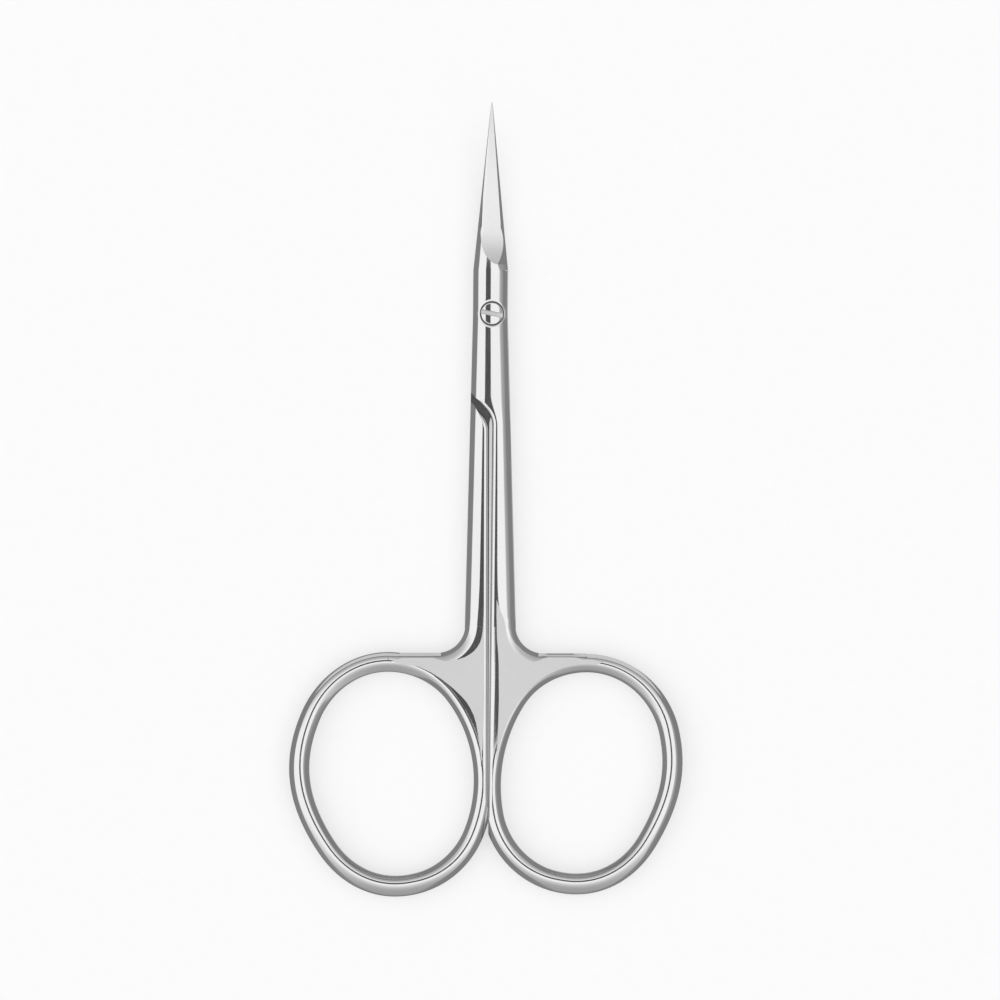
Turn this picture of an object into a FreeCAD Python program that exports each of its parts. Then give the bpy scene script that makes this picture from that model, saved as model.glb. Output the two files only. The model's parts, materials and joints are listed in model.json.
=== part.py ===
import FreeCAD, Part
import math
import os

V = FreeCAD.Vector
ORIGIN = V(0, 0, 0)
ALONG_Y = V(0, 1, 0)
ALONG_Z = V(0, 0, 1)

# Cuticle scissors, lying flat and closed. Sizes are in millimetres and degrees.
# While it is built the pivot axis is Z, the tips point along +Y and the two halves part at z = 0.
# The front half is the upper one at the pivot, with its finger ring on the +X side.
FRONT = 1
BACK = -1

# Closed bar: both halves together, from the necks above the finger rings up to the blades
BAR_WIDTH = 4.15
BAR_THICKNESS = 3.0
BAR_OFFSET = 0.2
NECK_SPAN = 6.1
SECTION_FULLNESS_SHARE = 0.5523

# Flat crest along the bar: where it starts and ends across the bar, as shares of half its width
LUG_LENGTH = 9.6
CREST_SHIFT_LENGTH = 3.8
CREST_LUG_SHARES = (-0.23, -0.06)
CREST_SHANK_SHARES = (-0.345, 0.31)
CREST_TONGUE_SHARES = (-0.395, 0.24)
CREST_NECK_SHARES = (-0.5, 0.4)

# Seam: the shanks all but touch beside the middle of the rings, and stand a little apart at the shoulders
SEAM_OFFSET = 0.48
SEAM_GAP = 0.06
SEAM_LEAN = 0.37
SEAM_OPENING = 0.44

# Where the rounded shanks open out into the flat webs
TONGUE_LENGTH = 8.0
TONGUE_STATIONS = 4
SINK_LENGTH = 8.0
SINK_DEPTH = 0.5

# Blades: tapered with the bar's own section, curved up towards the user
TIP_REACH = 25.2
BLADE_LENGTH = 20.0
TIP_WIDTH = 0.15
TIP_THICKNESS = 0.4
BLADE_STATIONS = 8
BLADE_RISE = 3.0
BLADE_CLEARANCE = 0.06

# Ground facet on the outside of each blade, from its spine down to its cutting edge
FACET_SPINE_SHARE = 0.68
FACET_EDGE_SHARE = 0.74
FACET_RUNOUT_START = 11.0
FACET_RUNOUT_RADIUS = 12.25

# Shoulders, where each half steps from half thickness at the pivot to full thickness in its shank
SHOULDER_DROP = 12.36
SHOULDER_ANGLE = 48.0
SHOULDER_ROUND = 2.8
SHOULDER_GAP = 0.65

# Rounded edges along the seam
FRONT_SEAM_ROUND = 0.46
BACK_SEAM_ROUND = 0.62

# Finger rings: an oval hole of four arcs, its top leaning outwards
FRONT_RING_OUT = 10.95
BACK_RING_OUT = 11.84
FRONT_RING_DROP = 54.94
BACK_RING_DROP = 55.08
FRONT_HOLE_HALF_WIDTH = 9.52
BACK_HOLE_HALF_WIDTH = 9.8
FRONT_HOLE_HALF_LENGTH = 12.27
BACK_HOLE_HALF_LENGTH = 12.36
HOLE_END_RADIUS = 8.9
FRONT_RING_TILT = 11.0
BACK_RING_TILT = 7.5
RING_WIDTH = 2.42
RING_LAND = 0.12
RING_INNER_ROUND = 1.04

# Flat webs between the shanks and the rings, with a concave neck
WEB_THICKNESS = 2.9
WEB_RUN_IN = 1.0
NECK_RADIUS = 3.4
NECK_RUN_IN_ANGLE = 4.0
NECK_SINK = 0.05
NECK_LINE_DROP = 0.4
NECK_EDGE_ROUND = 1.4

# Pivot screw: ground flush with the bar at both ends
HEAD_DIAMETER = 2.7
HEAD_SEAT_HEIGHT = 0.7
HEAD_CLEARANCE = 0.06
HEAD_SINK = 0.04
JOURNAL_DIAMETER = 1.7
JOURNAL_CLEARANCE = 0.03
THREAD_DIAMETER = 1.5
SLOT_WIDTH = 0.56
SLOT_DEPTH = 0.7
SLOT_ANGLE = -11.0

# How far cutting shapes run past what they cut
OVERRUN = 1.0

SEAM_ROUND = {FRONT: FRONT_SEAM_ROUND, BACK: BACK_SEAM_ROUND}
RING_CENTRE_OUT = {FRONT: FRONT_RING_OUT, BACK: BACK_RING_OUT}
RING_CENTRE_DROP = {FRONT: FRONT_RING_DROP, BACK: BACK_RING_DROP}
HOLE_HALF_WIDTH = {FRONT: FRONT_HOLE_HALF_WIDTH, BACK: BACK_HOLE_HALF_WIDTH}
HOLE_HALF_LENGTH = {FRONT: FRONT_HOLE_HALF_LENGTH, BACK: BACK_HOLE_HALF_LENGTH}
RING_TILT = {FRONT: FRONT_RING_TILT, BACK: BACK_RING_TILT}
FACET_CREST_SHARE = {FRONT: -CREST_LUG_SHARES[0], BACK: CREST_LUG_SHARES[1]}
FAR_X = RING_CENTRE_OUT[BACK] + HOLE_HALF_WIDTH[BACK] + RING_WIDTH + OVERRUN
FAR_Y = RING_CENTRE_DROP[BACK] + HOLE_HALF_LENGTH[BACK] + RING_WIDTH + OVERRUN
FAR_Z = BAR_THICKNESS + BLADE_RISE + OVERRUN
HALF_THICKNESS = BAR_THICKNESS / 2
BLADE_BASE = TIP_REACH - BLADE_LENGTH
CURVE_RADIUS = (BLADE_LENGTH**2 + BLADE_RISE**2) / (2 * BLADE_RISE)


def line(start, end):
    """Straight edge between two points."""
    return Part.LineSegment(start, end).toShape()


def arc(start, middle, end):
    """Circular edge through three points."""
    return Part.Arc(start, middle, end).toShape()


def on_circle(centre, radius, angle):
    """Point on a circle in the XY plane, at an angle in degrees."""
    turn = math.radians(angle)
    return centre + V(radius * math.cos(turn), radius * math.sin(turn), 0)


def prism(edges, low, high):
    """Solid with a flat outline of edges, standing from low to high."""
    face = Part.Face(Part.Wire(edges))
    face.translate(V(0, 0, low))
    return face.extrude(V(0, 0, high - low))


def placed(shape, side):
    """A shape drawn for the front half, turned over if it is for the back half, and set on the bar's middle."""
    moved = shape.copy()
    if side == BACK:
        moved.rotate(ORIGIN, ALONG_Y, 180)
    moved.translate(V(-BAR_OFFSET, 0, 0))
    return moved


def parted(shape, side):
    """A cutting shape drawn along an upright seam, turned to the slope of one half's face and set on the seam."""
    foot = V(0, -RING_CENTRE_DROP[side], 0)
    moved = shape.copy()
    moved.rotate(foot, ALONG_Z, -SEAM_OPENING / 2)
    if side == BACK:
        moved.rotate(ORIGIN, ALONG_Y, 180)
    moved.rotate(foot, ALONG_Z, -SEAM_LEAN)
    moved.translate(V(-SEAM_OFFSET, 0, 0))
    return moved


def blade_height(y):
    """Height of the parting of the blades above the parting at the pivot."""
    run = max(y - BLADE_BASE, 0)
    return CURVE_RADIUS - math.sqrt(CURVE_RADIUS**2 - run**2)


def middle_line(y):
    """X of the middle of the bar or blades: offset in the shanks, on the pivot axis at the tip."""
    return -BAR_OFFSET * (1 - max(y, 0) / TIP_REACH)


def neck_line(side):
    """Y of the straight top edge of a web, just under the crown of its ring."""
    top_centre, top_radius = hole_arcs(side)[1][:2]
    return top_centre.y + top_radius + RING_WIDTH - NECK_LINE_DROP


def neck_start(side):
    """Y where the concave neck leaves the side of the shank."""
    return neck_line(side) + NECK_RADIUS * (1 - math.sin(math.radians(NECK_RUN_IN_ANGLE)))


def neck_reach():
    """Distance from the pivot axis to the necks."""
    return -(neck_start(FRONT) + neck_start(BACK)) / 2


def shank_half_width(y):
    """Half the width of the closed bar between the pivot and the necks."""
    return (BAR_WIDTH + (NECK_SPAN - BAR_WIDTH) * max(-y, 0) / neck_reach()) / 2


def taper(y, at_base, at_tip):
    """Size that runs evenly from the base of the blades to their tip."""
    share = min((y - BLADE_BASE) / BLADE_LENGTH, 1)
    return at_base + (at_tip - at_base) * share


def blade_half_width(y):
    """Half the width of the closed blades."""
    return taper(y, BAR_WIDTH, TIP_WIDTH) / 2


def blade_half_height(y):
    """Half the thickness of the closed blades, before their facets are ground."""
    return taper(y, BAR_THICKNESS, TIP_THICKNESS) / 2


def blade_places(count):
    """Evenly spaced places along the blades, from their base."""
    return [BLADE_BASE + step * BLADE_LENGTH / BLADE_STATIONS for step in range(count)]


def shank_section(y, crest_shares):
    """Section of the bar at full thickness, between the pivot and the necks."""
    return bar_section(y, shank_half_width(y), HALF_THICKNESS, crest_shares)


def tongue_section(y):
    """Section of the shanks just above the necks, where their crest opens into a flat."""
    opened = 1 - (y + neck_reach()) / TONGUE_LENGTH
    crest = [low + (high - low) * opened**2 for low, high in zip(CREST_TONGUE_SHARES, CREST_NECK_SHARES)]
    return shank_section(y, crest)


def bar_section(y, half_width, half_height, crest_shares):
    """Rounded outline across the closed bar: a narrow flat crest above and below, and four quarter rounds."""
    left, right = [half_width * share for share in crest_shares]
    centre = V(middle_line(y), y, blade_height(y))

    def quarter(crest, out, up):
        reach = out * half_width
        pull = crest + (reach - crest) * SECTION_FULLNESS_SHARE
        side = up * half_height * SECTION_FULLNESS_SHARE
        poles = [(crest, up * half_height), (pull, up * half_height), (reach, side), (reach, 0)]
        bend = Part.BezierCurve()
        bend.setPoles([centre + V(x, 0, z) for x, z in poles])
        return bend.toShape()

    def flat(up):
        return line(centre + V(left, 0, up * half_height), centre + V(right, 0, up * half_height))

    edges = [flat(1), quarter(right, 1, 1), quarter(right, 1, -1)]
    edges += [flat(-1), quarter(left, -1, -1), quarter(left, -1, 1)]
    return Part.Wire(edges)


def closed_bar():
    """Both shanks, the pivot lugs and the blades as one closed form, before it is parted."""
    neck_y = -neck_reach()
    tongue = []
    for step in range(TONGUE_STATIONS + 1):
        tongue.append(tongue_section(neck_y + TONGUE_LENGTH * (1 - step / TONGUE_STATIONS)))
    sunk = bar_section(neck_y - SINK_LENGTH, NECK_SPAN / 2, HALF_THICKNESS - SINK_DEPTH, CREST_NECK_SHARES)
    shank_top = shank_section(-LUG_LENGTH - CREST_SHIFT_LENGTH, CREST_SHANK_SHARES)
    lug_end = shank_section(-LUG_LENGTH, CREST_LUG_SHARES)
    at_pivot = shank_section(0, CREST_LUG_SHARES)
    blade = []
    for y in blade_places(BLADE_STATIONS + 1):
        blade.append(bar_section(y, blade_half_width(y), blade_half_height(y), CREST_LUG_SHARES))
    tongues = Part.makeLoft(tongue, True, False)
    blades = Part.makeLoft(blade, True, False)
    straight = [[sunk, tongue[-1]], [tongue[0], shank_top], [shank_top, lug_end]]
    straight += [[lug_end, at_pivot], [at_pivot, blade[0]]]
    return tongues.fuse([Part.makeLoft(pair, True, True) for pair in straight] + [blades])


def parting(side):
    """Everything above the parting for the front half, or below it for the back half."""
    gap = side * BLADE_CLEARANCE / 2
    end = TIP_REACH + OVERRUN
    centre = V(0, BLADE_BASE, CURVE_RADIUS + gap)
    sweep = math.asin((end - BLADE_BASE) / CURVE_RADIUS)

    def on_curve(share):
        return centre + V(0, math.sin(share * sweep), -math.cos(share * sweep)) * CURVE_RADIUS

    edges = [
        line(V(0, -FAR_Y, 0), V(0, BLADE_BASE, 0)),
        line(V(0, BLADE_BASE, 0), on_curve(0)),
        arc(on_curve(0), on_curve(0.5), on_curve(1)),
        line(on_curve(1), V(0, end, side * FAR_Z)),
        line(V(0, end, side * FAR_Z), V(0, -FAR_Y, side * FAR_Z)),
        line(V(0, -FAR_Y, side * FAR_Z), V(0, -FAR_Y, 0)),
    ]
    face = Part.Face(Part.Wire(edges))
    face.translate(V(-FAR_X, 0, 0))
    return face.extrude(V(2 * FAR_X, 0, 0))


def shoulder(out, drop):
    """Points of a shoulder: far out on one side (out = -1 or 1), where it bends, and where it meets the seam."""
    slope = math.radians(SHOULDER_ANGLE)
    tangent = SHOULDER_ROUND * math.tan((math.pi / 2 - slope) / 2)
    corner = V(SEAM_GAP / 2, -drop, 0)
    run = FAR_X - out * SEAM_GAP / 2
    start = corner + V(out * run, run * math.tan(slope), 0)
    bend = corner + V(out * math.cos(slope), math.sin(slope), 0) * tangent
    seam = corner - V(0, tangent, 0)
    centre = seam + V(out * SHOULDER_ROUND, 0, 0)
    return start, bend, seam, centre


def shoulder_edges(out, drop):
    """Edges of a shoulder, from far out down to the straight seam."""
    start, bend, seam, centre = shoulder(out, drop)
    turn = (90 - SHOULDER_ANGLE) / 2
    middle = on_circle(centre, SHOULDER_ROUND, turn if out < 0 else 180 - turn)
    return start, seam, [line(start, bend), arc(bend, middle, seam)]


def kept_region(side):
    """Space that belongs to one half: its own layer at the pivot and both layers of its shank."""
    foot = V(SEAM_GAP / 2, -FAR_Y, 0)
    far_foot = V(FAR_X, -FAR_Y, 0)
    far_top = V(FAR_X, FAR_Y, 0)
    near_top = V(-FAR_X, FAR_Y, 0)

    start, seam, edges = shoulder_edges(-1, SHOULDER_DROP)
    own = edges + [
        line(seam, foot),
        line(foot, far_foot),
        line(far_foot, far_top),
        line(far_top, near_top),
        line(near_top, start),
    ]
    own_layer = parted(prism(own, -FAR_Z, FAR_Z), side).common(parting(side))

    start, seam, edges = shoulder_edges(1, SHOULDER_DROP + SHOULDER_GAP)
    other = edges + [line(seam, foot), line(foot, far_foot), line(far_foot, start)]
    other_layer = parted(prism(other, -FAR_Z, HALF_THICKNESS / 2), side)
    return own_layer.fuse(other_layer)


def facet_cutter(side):
    """What is ground off the outside of a blade: straight across, with a round run-out at its base."""
    wires = []
    crest = FACET_CREST_SHARE[side]
    across = (FACET_SPINE_SHARE - crest) / (1 - crest)
    for y in blade_places(BLADE_STATIONS + 2):
        spine_x = -FACET_SPINE_SHARE * blade_half_width(y)
        edge_x = FACET_EDGE_SHARE * blade_half_width(y)
        spine_z = blade_half_height(y) * math.sqrt(1 - across**2)
        slope = spine_z / (spine_x - edge_x)
        lift = max(FACET_RUNOUT_START - y, 0) ** 2 / (2 * FACET_RUNOUT_RADIUS) + BLADE_CLEARANCE / 2
        near_x = -BAR_WIDTH
        far_x = BAR_WIDTH
        corners = [
            (near_x, lift + slope * (near_x - edge_x)),
            (far_x, lift + slope * (far_x - edge_x)),
            (far_x, FAR_Z),
            (near_x, FAR_Z),
        ]
        centre = V(middle_line(y), y, blade_height(y))
        points = [centre + V(side * x, 0, side * z) for x, z in corners]
        wires.append(Part.makePolygon(points + points[:1]))
    return Part.makeLoft(wires, True, False)


def hole_arcs(side):
    """Centre, radius, start angle and sweep of the four arcs of a finger hole."""
    half_width = HOLE_HALF_WIDTH[side]
    half_length = HOLE_HALF_LENGTH[side]
    reach = half_length - HOLE_END_RADIUS
    side_radius = (half_width**2 + half_length**2 - 2 * half_length * HOLE_END_RADIUS) / (
        2 * (half_width - HOLE_END_RADIUS)
    )
    inset = side_radius - half_width
    turn = math.degrees(math.atan2(reach, inset))
    middle = V(RING_CENTRE_OUT[side], -RING_CENTRE_DROP[side], 0)
    lean = FreeCAD.Rotation(ALONG_Z, -RING_TILT[side])
    arcs = []
    for centre, radius, start, sweep in (
        (V(-inset, 0, 0), side_radius, -turn, 2 * turn),
        (V(0, reach, 0), HOLE_END_RADIUS, turn, 180 - 2 * turn),
        (V(inset, 0, 0), side_radius, 180 - turn, 2 * turn),
        (V(0, -reach, 0), HOLE_END_RADIUS, 180 + turn, 180 - 2 * turn),
    ):
        arcs.append((middle + lean.multVec(centre), radius, start - RING_TILT[side], sweep))
    return arcs


def ring_section(inner_radius):
    """Face across the rod of a ring, in the XZ plane, at its distance from an arc's centre."""
    inner = inner_radius
    land_start = inner + RING_INNER_ROUND
    land_end = land_start + RING_LAND
    outer = inner + RING_WIDTH
    fullness = SECTION_FULLNESS_SHARE
    side = HALF_THICKNESS * fullness
    inner_pull = land_start - RING_INNER_ROUND * fullness
    outer_pull = land_end + (outer - land_end) * fullness

    def curve(poles):
        bend = Part.BezierCurve()
        bend.setPoles([V(x, 0, z) for x, z in poles])
        return bend.toShape()

    def half(up):
        top = up * HALF_THICKNESS
        return [
            curve([(inner, 0), (inner, up * side), (inner_pull, top), (land_start, top)]),
            line(V(land_start, 0, top), V(land_end, 0, top)),
            curve([(land_end, top), (outer_pull, top), (outer, up * side), (outer, 0)]),
        ]

    return Part.Face(Part.Wire(half(1) + half(-1)[::-1]))


def finger_ring(side):
    """Rod of the ring, turned about the four arcs of its hole."""
    sectors = []
    for centre, radius, start, sweep in hole_arcs(side):
        face = ring_section(radius)
        face.rotate(ORIGIN, ALONG_Z, start)
        face.translate(centre)
        sectors.append(face.revolve(centre, ALONG_Z, sweep))
    return sectors[0].multiFuse(sectors[1:]).removeSplitter()


def web(side):
    """Flat plate between the shank and the ring, with the concave neck along its outer edge."""
    arcs = hole_arcs(side)
    top_centre = arcs[1][0]
    seam_centre = arcs[2][0]
    line_y = neck_line(side)
    leave_y = neck_start(side)
    run_in = math.radians(NECK_RUN_IN_ANGLE)
    leave = V(shank_half_width(leave_y) - NECK_SINK, leave_y, 0)
    neck_centre = V(leave.x + NECK_RADIUS * math.cos(run_in), line_y + NECK_RADIUS, 0)
    neck_foot = neck_centre - V(0, NECK_RADIUS, 0)
    neck_middle = on_circle(neck_centre, NECK_RADIUS, 225 + NECK_RUN_IN_ANGLE / 2)
    top = leave + V(-math.tan(run_in), 1, 0) * WEB_RUN_IN
    ring_end = V(top_centre.x, line_y, 0)
    low_y = seam_centre.y
    corners = [V(top_centre.x, low_y, 0), V(-OVERRUN, low_y, 0), V(-OVERRUN, top.y, 0)]
    rim = [line(ring_end, neck_foot), arc(neck_foot, neck_middle, leave), line(leave, top)]
    rest = [line(ring_end, corners[0]), line(corners[0], corners[1])]
    rest += [line(corners[1], corners[2]), line(corners[2], top)]
    plate = prism(rim + rest[::-1], -WEB_THICKNESS / 2, WEB_THICKNESS / 2)

    def on_rim(edge):
        middle = edge.valueAt((edge.FirstParameter + edge.LastParameter) / 2)
        if abs(abs(middle.z) - WEB_THICKNESS / 2) > Part.Precision.confusion():
            return False
        flat = Part.Vertex(V(middle.x, middle.y, 0))
        return any(flat.distToShape(guide)[0] < Part.Precision.confusion() for guide in rim)

    plate = plate.makeFillet(NECK_EDGE_ROUND, [edge for edge in plate.Edges if on_rim(edge)])
    middle_path = []
    for centre, radius, start, sweep in arcs:
        radius += RING_WIDTH / 2
        points = [on_circle(centre, radius, start + part * sweep / 2) for part in range(3)]
        middle_path.append(arc(*points))
    return plate.cut(prism(middle_path, -FAR_Z, FAR_Z))


def bow(side):
    """Finger ring and web of one half, cut flat along the seam."""
    own_side = Part.makeBox(FAR_X + FAR_Y, 2 * FAR_Y, 2 * FAR_Z, V(SEAM_GAP / 2, -2 * FAR_Y, -FAR_Z))
    return placed(finger_ring(side).fuse(web(side)), side).common(parted(own_side, side))


def round_over(radius, up):
    """Face in the XZ plane that leaves a round edge on the seam, on the upper (1) or lower (-1) side."""
    near = SEAM_GAP / 2 - OVERRUN
    seam = SEAM_GAP / 2
    low = up * (HALF_THICKNESS - radius)
    high = up * (HALF_THICKNESS + OVERRUN)
    start = V(seam, 0, low)
    end = V(seam + radius, 0, up * HALF_THICKNESS)
    middle = V(seam + radius, 0, low) + V(-1, 0, up).normalize() * radius
    edges = [
        line(V(near, 0, low), start),
        arc(start, middle, end),
        line(end, V(end.x, 0, high)),
        line(V(end.x, 0, high), V(near, 0, high)),
        line(V(near, 0, high), V(near, 0, low)),
    ]
    return Part.Face(Part.Wire(edges))


def seam_cutters(side):
    """Round-over along both edges of the seam of one half, up the seam and round the shoulder."""
    cutters = []
    for up, out, drop in ((1, -1, SHOULDER_DROP), (-1, 1, SHOULDER_DROP + SHOULDER_GAP)):
        start, bend, seam, centre = shoulder(out, drop)
        turn = -out * (90 - SHOULDER_ANGLE)
        face = round_over(SEAM_ROUND[side], up)
        face.translate(V(0, seam.y, 0))
        cutters.append(face.extrude(V(0, -FAR_Y, 0)))
        cutters.append(face.revolve(centre, ALONG_Z, turn))
        face.rotate(centre, ALONG_Z, turn)
        cutters.append(face.extrude((start - bend).normalize() * BAR_WIDTH))
    return [parted(cutter, side) for cutter in cutters]


def pivot_screw(bar):
    """Slotted screw: head, journal and threaded end in one, ground flush with the bar above and below."""
    head = Part.makeCylinder(HEAD_DIAMETER / 2, HALF_THICKNESS, V(0, 0, HEAD_SEAT_HEIGHT))
    journal = Part.makeCylinder(JOURNAL_DIAMETER / 2, HEAD_SEAT_HEIGHT)
    thread = Part.makeCylinder(THREAD_DIAMETER / 2, BAR_THICKNESS, V(0, 0, -BAR_THICKNESS))
    lowered = bar.copy()
    lowered.translate(V(0, 0, -HEAD_SINK))
    screw = head.fuse([journal, thread]).removeSplitter().common(bar).common(lowered)
    slot = Part.makeBox(
        HEAD_DIAMETER + 2 * OVERRUN,
        SLOT_WIDTH,
        FAR_Z,
        V(-HEAD_DIAMETER / 2 - OVERRUN, -SLOT_WIDTH / 2, HALF_THICKNESS - SLOT_DEPTH),
    )
    slot.rotate(ORIGIN, ALONG_Z, SLOT_ANGLE)
    return screw.cut(slot)


def pivot_hole(side):
    """Stepped hole for the head and journal in the front half, or the tapped hole in the back half."""
    if side == BACK:
        return Part.makeCylinder(THREAD_DIAMETER / 2, FAR_Z, V(0, 0, -FAR_Z))
    seat = Part.makeCylinder(HEAD_DIAMETER / 2 + HEAD_CLEARANCE, FAR_Z, V(0, 0, HEAD_SEAT_HEIGHT))
    bore = Part.makeCylinder(JOURNAL_DIAMETER / 2 + JOURNAL_CLEARANCE, FAR_Z, V(0, 0, -OVERRUN))
    return seat.fuse(bore)


def half(side, bar):
    """One forged half: blade, pivot lug, shank, web and finger ring in a single piece."""
    body = bar.common(kept_region(side)).cut(facet_cutter(side))
    body = body.fuse(bow(side)).removeSplitter()
    body = body.cut(seam_cutters(side))
    return body.cut(pivot_hole(side))


def main():
    """Build the three pieces, set the origin under the middle of the closed scissors, and write them."""
    bar = closed_bar()
    pieces = {
        "front_half": half(FRONT, bar),
        "back_half": half(BACK, bar),
        "pivot_screw": pivot_screw(bar),
    }
    box = Part.makeCompound(list(pieces.values())).optimalBoundingBox(False)
    shift = V(-box.Center.x, -box.Center.y, -box.ZMin)
    os.makedirs("parts", exist_ok=True)
    for name, shape in pieces.items():
        shape.translate(shift)
        print(name, shape.isValid(), len(shape.Solids), round(shape.Volume, 3), len(shape.Faces))
        shape.exportStep(os.path.join("parts", name + ".step"))
    print("pivot axis at", shift, "box", box.XLength, box.YLength, box.ZLength)


main()
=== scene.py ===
import json
import math

import bmesh
import bpy
from mathutils import Matrix, Vector


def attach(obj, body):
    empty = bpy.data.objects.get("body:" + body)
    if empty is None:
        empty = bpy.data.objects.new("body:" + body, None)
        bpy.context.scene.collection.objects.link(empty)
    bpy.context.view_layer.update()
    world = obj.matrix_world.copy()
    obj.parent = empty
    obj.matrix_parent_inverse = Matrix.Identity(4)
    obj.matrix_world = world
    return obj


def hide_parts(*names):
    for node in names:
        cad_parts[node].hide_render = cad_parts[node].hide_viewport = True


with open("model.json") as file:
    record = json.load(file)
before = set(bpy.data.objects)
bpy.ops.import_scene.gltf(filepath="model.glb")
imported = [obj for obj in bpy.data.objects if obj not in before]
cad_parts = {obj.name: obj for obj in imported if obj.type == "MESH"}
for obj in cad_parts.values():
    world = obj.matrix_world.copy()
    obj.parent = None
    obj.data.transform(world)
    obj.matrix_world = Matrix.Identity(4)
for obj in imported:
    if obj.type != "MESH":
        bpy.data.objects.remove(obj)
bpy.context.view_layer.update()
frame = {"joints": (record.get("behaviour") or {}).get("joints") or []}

# The two halves: each is one forging of stainless steel, with its blade, pivot lug, shank, flat web and finger ring.
# The closed pair is one rounded bar, parted along the seam and the slanted shoulders, with a facet ground on each
# blade's outside. The webs keep a fine satin and the facets their grinding, the facets' steel painted lighter as a
# painted highlight; the rest is mirror polished.
FRONT = 1
BACK = -1
MM = 0.001
HALF_NAMES = {FRONT: "front_half", BACK: "back_half"}
HALF_BODIES = {FRONT: "front", BACK: "back"}

# Sizes of the closed bar in millimetres, from the pivot axis, with the tips along +Y and the parting at z = 0
HALF_THICKNESS = 1.5
PIVOT_HALF_WIDTH = 2.075
NECK_HALF_WIDTH = 3.05
BAR_X = -0.2
LUG_END = -9.6
SHANK_TOP = -13.4
TONGUE_LENGTH = 8.0
SINK_LENGTH = 8.0
SINK_DEPTH = 0.5
BAR_SIDES = 128
BLADE_STEPS = 60

# Flat crest along the bar: where it starts and stops, as shares of half the bar's width
CREST_LUG = (-0.23, -0.06)
CREST_SHANK = (-0.345, 0.31)
CREST_TONGUE = (-0.395, 0.24)
CREST_NECK = (-0.5, 0.51)
FLANK_SLOPE = 0.82
FLANK_CORNER = 0.97

# Blades: length, tip, upward curve and the ground facet
TIP_Y = 25.2
BLADE_BASE = 5.2
TIP_HALF_WIDTH = 0.075
TIP_HALF_HEIGHT = 0.2
BLADE_RISE = 3.0
BLADE_HALF_GAP = 0.03
FACET_SPINE = 0.76
FACET_EDGE = 0.74
FACET_STEEPEST = 0.38
SPINE_SIDE = 0.8
FACET_RUNOUT_START = 11.0
FACET_RUNOUT_RADIUS = 12.25
RIDGE_DEPTH = 0.04
RIDGE_SLOPE = 0.5
RIDGE_FLAT = 0.024
RIDGE_SAMPLES = 40
BEVEL_START = 0.76
BEVEL_SLOPE = 0.85
BEVEL_BASE = 6.2
BEVEL_RUN_IN = 3.0
SIDE_START = 4.9
SIDE_FOOT = 2.8
SIDE_TAPER = 0.3
SIDE_SLOPE = 0.78
SIDE_STEEPER = 1.2
TAPER_EASE = 0.06
BLADE_LENGTH = TIP_Y - BLADE_BASE
CURVE_RADIUS = (BLADE_LENGTH**2 + BLADE_RISE**2) / (2 * BLADE_RISE)

# Seam between the shanks, open at the top, with slanted shoulders below the pivot and rounded edges
SEAM_X = -0.41
SEAM_HALF_GAP = 0.03
SEAM_LEAN = 0.37
SEAM_HALF_OPENING = 0.22
SEAM_ROUND = {FRONT: 0.46, BACK: 0.62}
SHOULDER_DROP = 12.36
SHOULDER_ANGLE = 48.0
SHOULDER_ROUND = 2.8
SHOULDER_GAP = 0.65
SHOULDER_RUN = 9.0

# Finger rings, webs and necks
RING_OUT = {FRONT: 10.95, BACK: 11.84}
RING_DROP = {FRONT: 54.94, BACK: 55.08}
HOLE_HALF_WIDTH = {FRONT: 9.52, BACK: 9.8}
HOLE_HALF_LENGTH = {FRONT: 12.27, BACK: 12.36}
HOLE_END_RADIUS = 8.9
RING_TILT = {FRONT: 11.0, BACK: 7.5}
RING_WIDTH = 2.42
RING_LAND = 0.12
RING_INNER_ROUND = 1.04
RING_TOP_DROP = {FRONT: 0.24, BACK: 0.15}
RING_TOP_THINNER = {FRONT: 0.24, BACK: 0.06}
RING_FAR_SIDE_EASE = 0.024
RING_CROWN_LEAN = 0.27
RING_LEAN_START = -0.6
RING_LEAN_RUN = 0.4
RING_SIDES = 64
RING_STEP = 1.5
WEB_HALF_THICKNESS = 1.498
WEB_RUN_IN = 1.0
NECK_RADIUS = 3.4
NECK_RUN_IN_ANGLE = 4.0
NECK_SINK = 0.05
NECK_LINE_DROP = {FRONT: 0.4, BACK: 0.3}
NECK_CHAMFER = 0.9
NECK_ROUND = 0.54
NECK_ROUND_STEPS = 12
NECK_CHAMFER_FOOT = 0.76
RIM_NARROWING = {FRONT: 0.34, BACK: 0.52}
RIM_NARROWING_RUN = 2.2
RIM_NARROWING_LEAD = 0.7
RIM_END = 0.65
RIM_END_RUN = 2.0
RIM_STEPS = 24

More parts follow.
